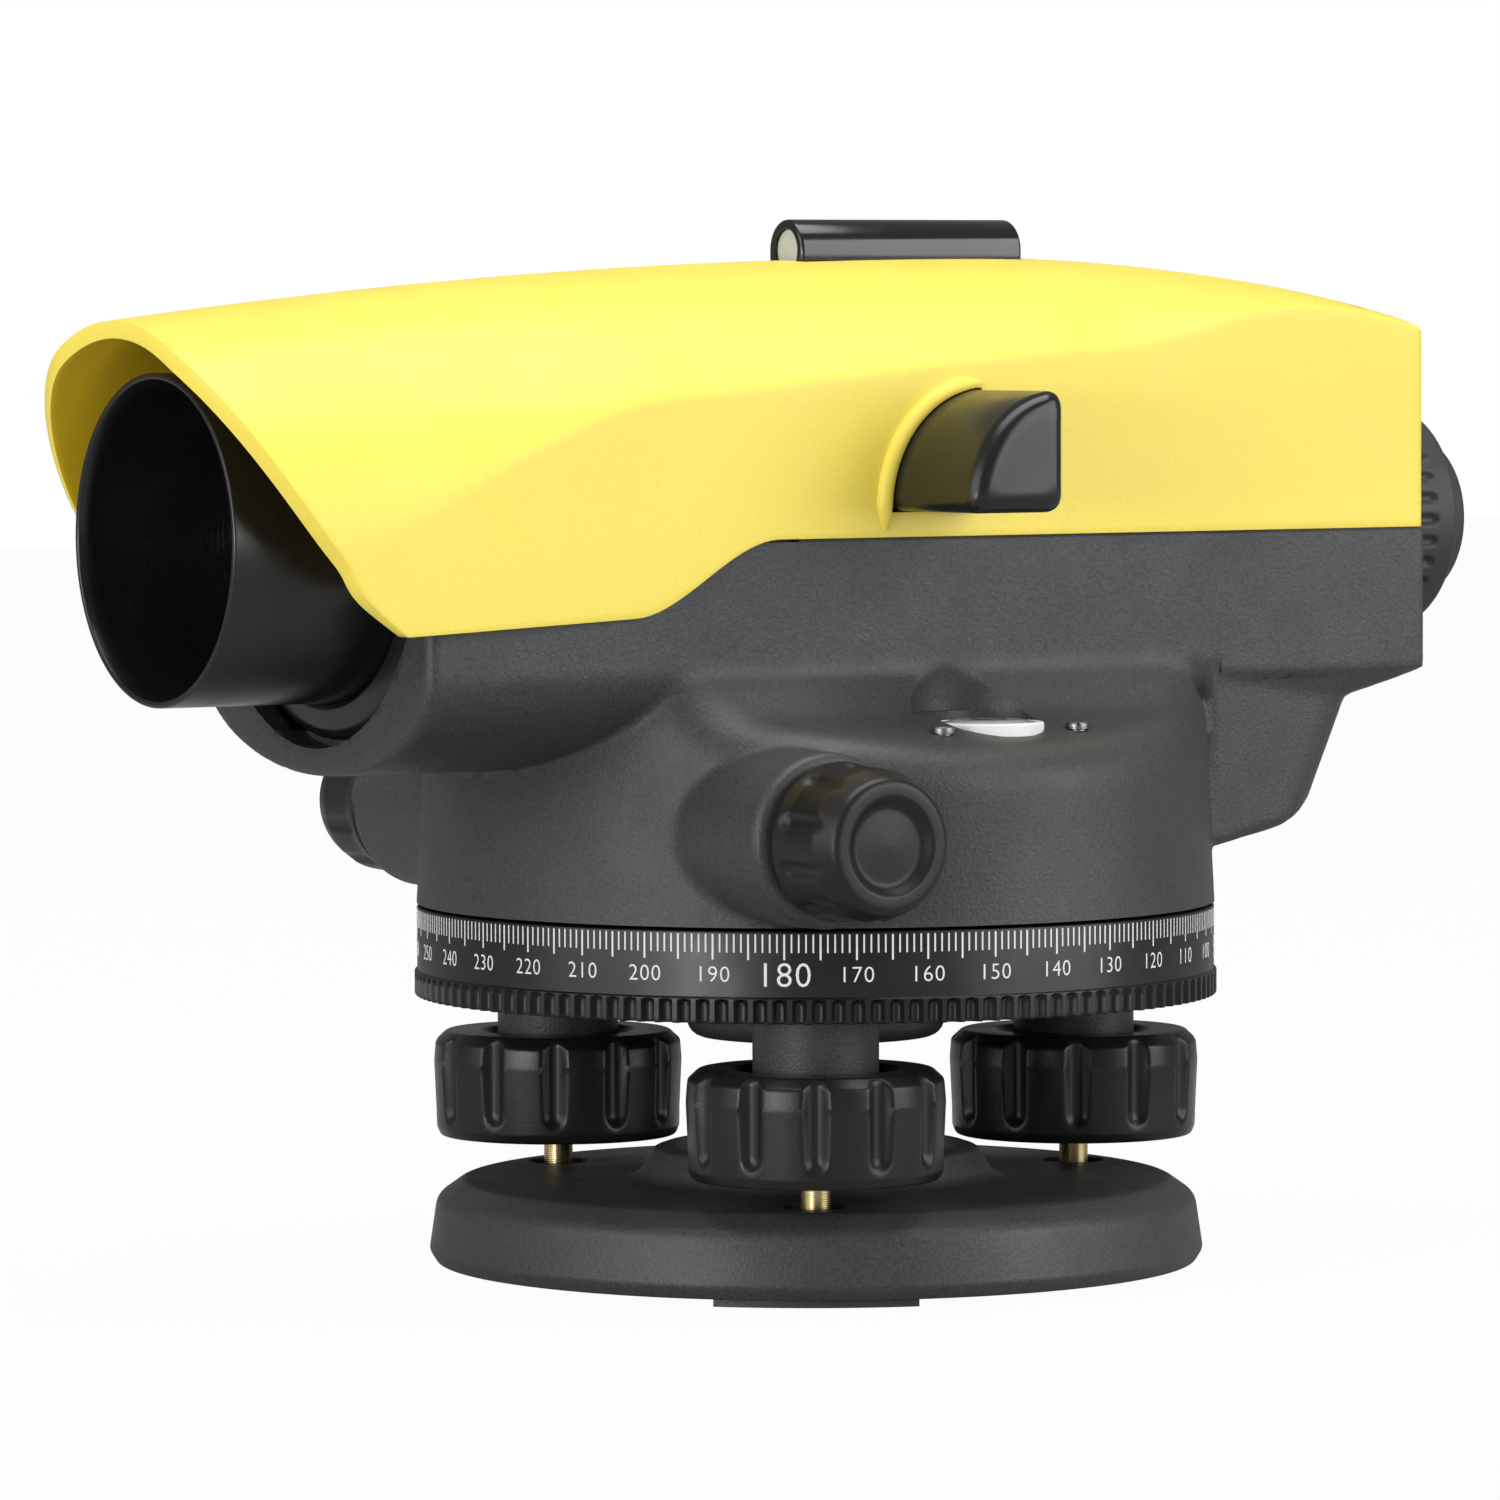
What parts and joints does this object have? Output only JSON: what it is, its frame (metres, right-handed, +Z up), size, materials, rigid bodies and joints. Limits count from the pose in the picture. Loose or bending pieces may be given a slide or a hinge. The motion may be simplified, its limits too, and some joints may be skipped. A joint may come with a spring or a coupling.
{
  "type": "automatic level",
  "caption": "Surveyor's automatic level with a hooded telescope, circular bubble and prism, side drive knobs, graduated circle and a footscrew levelling base.",
  "frame": {"origin": "centre of the base's bottom contact plane, on the vertical axis and the tripod thread", "axes": "+Z up the vertical axis, +X from the objective to the eyepiece, -Y towards the bubble and its prism"},
  "size_m": [0.201, 0.128, 0.1365],
  "materials": {
    "housing_grey": "fine-textured dark grey powder coat",
    "cover_yellow": "satin moulded yellow",
    "knob_black": "satin black moulding",
    "gloss_black": "gloss black moulding",
    "tube_black": "satin black anodised tube",
    "circle_black": "satin black with white graduations and numbers",
    "marking_white": "white marking paint and white plastic",
    "rubber_black": "ribbed rubber",
    "steel": "turned steel",
    "brass": "turned brass",
    "inner_black": "black anodised aluminium",
    "glass": "clear optical glass"
  },
  "bodies": {
    "base": {"base_plate": "housing_grey", "tripod_bush": "brass", "spring_plate": "steel", "spring_plate_screws": "steel", "swivel_foot_front": "brass"},
    "rear_feet": {"swivel_feet_rear": "brass"},
    "levelling_head": {"tribrach": "housing_grey", "axis_bush": "brass", "footscrew_bushes": "brass"},
    "front_stem": {"stem_front": "brass"},
    "left_stem": {"stem_left": "brass"},
    "right_stem": {"stem_right": "brass"},
    "front_knob": {"footscrew_knob_front": "knob_black", "footscrew_front": "steel"},
    "left_knob": {"footscrew_knob_left": "knob_black", "footscrew_left": "steel"},
    "right_knob": {"footscrew_knob_right": "knob_black", "footscrew_right": "steel"},
    "circle": {"horizontal_circle": "circle_black"},
    "wheel": {"worm_wheel": "brass", "clutch_spring": "steel"},
    "swing": {"pendulum": "brass", "pendulum_prism": "glass"},
    "tangent_drive": {"worm_shaft": "steel", "drive_knob_left": "knob_black", "drive_knob_right": "knob_black"},
    "focus_drive": {"focus_knob": "knob_black", "focus_pinion": "steel"},
    "focus_carriage": {"focusing_cell": "inner_black", "focusing_lens": "glass"},
    "eyepiece": {"eyepiece_ring": "rubber_black"},
    "eyepiece_tube": {"eyepiece_barrel": "inner_black"},
    "alidade": {"lower_housing": "housing_grey", "top_cover": "cover_yellow", "cover_gasket": "rubber_black", "cover_screws": "steel", "vertical_axis": "steel", "axis_flange_screws": "steel", "worm_bushes": "brass", "focus_bush": "brass", "objective_tube": "tube_black", "nose_ring": "tube_black", "objective_cell": "inner_black", "objective_lens": "glass", "telescope_barrel": "inner_black", "reticle_cell": "inner_black", "reticle": "glass", "reticle_screws": "steel", "eyepiece_seat": "inner_black", "compensator_frame": "inner_black", "suspension_wires": "steel", "fixed_prisms": "glass", "damping_magnets": "steel", "sight_tube": "gloss_black", "sight_lens": "glass", "prism_housing": "gloss_black", "bubble_prism": "glass", "vial_cup": "marking_white", "bubble_vial": "glass", "vial_screws": "steel"}
  },
  "joints": [
    {"name": "tilt_front", "type": "hinge", "parent": "base", "child": "rear_feet", "pos_m": [0.01068, 0.01664, 0.006], "axis": [-0.8415, 0.5402, 0], "range_deg": [-2, 2]},
    {"name": "tilt_side", "type": "hinge", "parent": "rear_feet", "child": "levelling_head", "pos_m": [0, 0, 0.006], "axis": [0.5402, 0.8415, 0], "range_deg": [-2, 2]},
    {"name": "front_stem_slide", "type": "slide", "parent": "levelling_head", "child": "front_stem", "axis": [0, 0, 1], "range_m": [-0.00212, 0.00212]},
    {"name": "front_knob_turn", "type": "hinge", "parent": "front_stem", "child": "front_knob", "pos_m": [-0.02137, -0.03328, 0.022], "axis": [0, 0, 1], "range_deg": [-937, 937]},
    {"name": "left_stem_slide", "type": "slide", "parent": "levelling_head", "child": "left_stem", "axis": [0, 0, 1], "range_m": [-0.00125, 0.00125]},
    {"name": "left_knob_turn", "type": "hinge", "parent": "left_stem", "child": "left_knob", "pos_m": [-0.01814, 0.03514, 0.022], "axis": [0, 0, 1], "range_deg": [-544, 544]},
    {"name": "right_stem_slide", "type": "slide", "parent": "levelling_head", "child": "right_stem", "axis": [0, 0, 1], "range_m": [-0.00125, 0.00125]},
    {"name": "right_knob_turn", "type": "hinge", "parent": "right_stem", "child": "right_knob", "pos_m": [0.03951, -0.00186, 0.022], "axis": [0, 0, 1], "range_deg": [-544, 544]},
    {"name": "circle_turn", "type": "hinge", "parent": "levelling_head", "child": "circle", "pos_m": [0, 0, 0.042], "axis": [0, 0, 1], "continuous": true},
    {"name": "azimuth_clutch", "type": "hinge", "parent": "levelling_head", "child": "wheel", "pos_m": [0, 0, 0.0592], "axis": [0, 0, 1], "continuous": true},
    {"name": "azimuth_fine", "type": "hinge", "parent": "wheel", "child": "alidade", "pos_m": [0, 0, 0.0592], "axis": [0, 0, 1], "continuous": true},
    {"name": "tangent_turn", "type": "hinge", "parent": "alidade", "child": "tangent_drive", "pos_m": [-0.0299, 0, 0.0592], "axis": [0, 1, 0], "continuous": true},
    {"name": "focus_turn", "type": "hinge", "parent": "alidade", "child": "focus_drive", "pos_m": [0.01, 0.0314, 0.0895], "axis": [0, 1, 0], "range_deg": [-168.5, 168.5]},
    {"name": "focus_slide", "type": "slide", "parent": "alidade", "child": "focus_carriage", "axis": [1, 0, 0], "range_m": [-0.01, 0.01]},
    {"name": "eyepiece_turn", "type": "hinge", "parent": "alidade", "child": "eyepiece", "pos_m": [0.085, 0, 0.0964], "axis": [1, 0, 0], "range_deg": [-180, 180]},
    {"name": "eyepiece_slide", "type": "slide", "parent": "alidade", "child": "eyepiece_tube", "axis": [1, 0, 0], "range_m": [-0.00251, 0.00251]},
    {"name": "compensator_swing", "type": "hinge", "parent": "alidade", "child": "swing", "pos_m": [0.047, 0, 0.108], "axis": [0, 1, 0], "range_deg": [-0.5, 0.5]}
  ],
  "couplings": [
    {"joint": "front_stem_slide", "follows": "tilt_front", "m_per_rad": -0.059325},
    {"joint": "front_knob_turn", "follows": "tilt_front", "ratio": -465.94},
    {"joint": "left_stem_slide", "follows": "tilt_side", "m_per_rad": -0.034251},
    {"joint": "left_knob_turn", "follows": "tilt_side", "ratio": -269.01},
    {"joint": "right_stem_slide", "follows": "tilt_side", "m_per_rad": 0.034251},
    {"joint": "right_knob_turn", "follows": "tilt_side", "ratio": 269.01},
    {"joint": "azimuth_fine", "follows": "tangent_turn", "ratio": 0.0083333},
    {"joint": "focus_slide", "follows": "focus_turn", "m_per_rad": 0.0034},
    {"joint": "eyepiece_slide", "follows": "eyepiece_turn", "m_per_rad": 0.00079577}
  ]
}
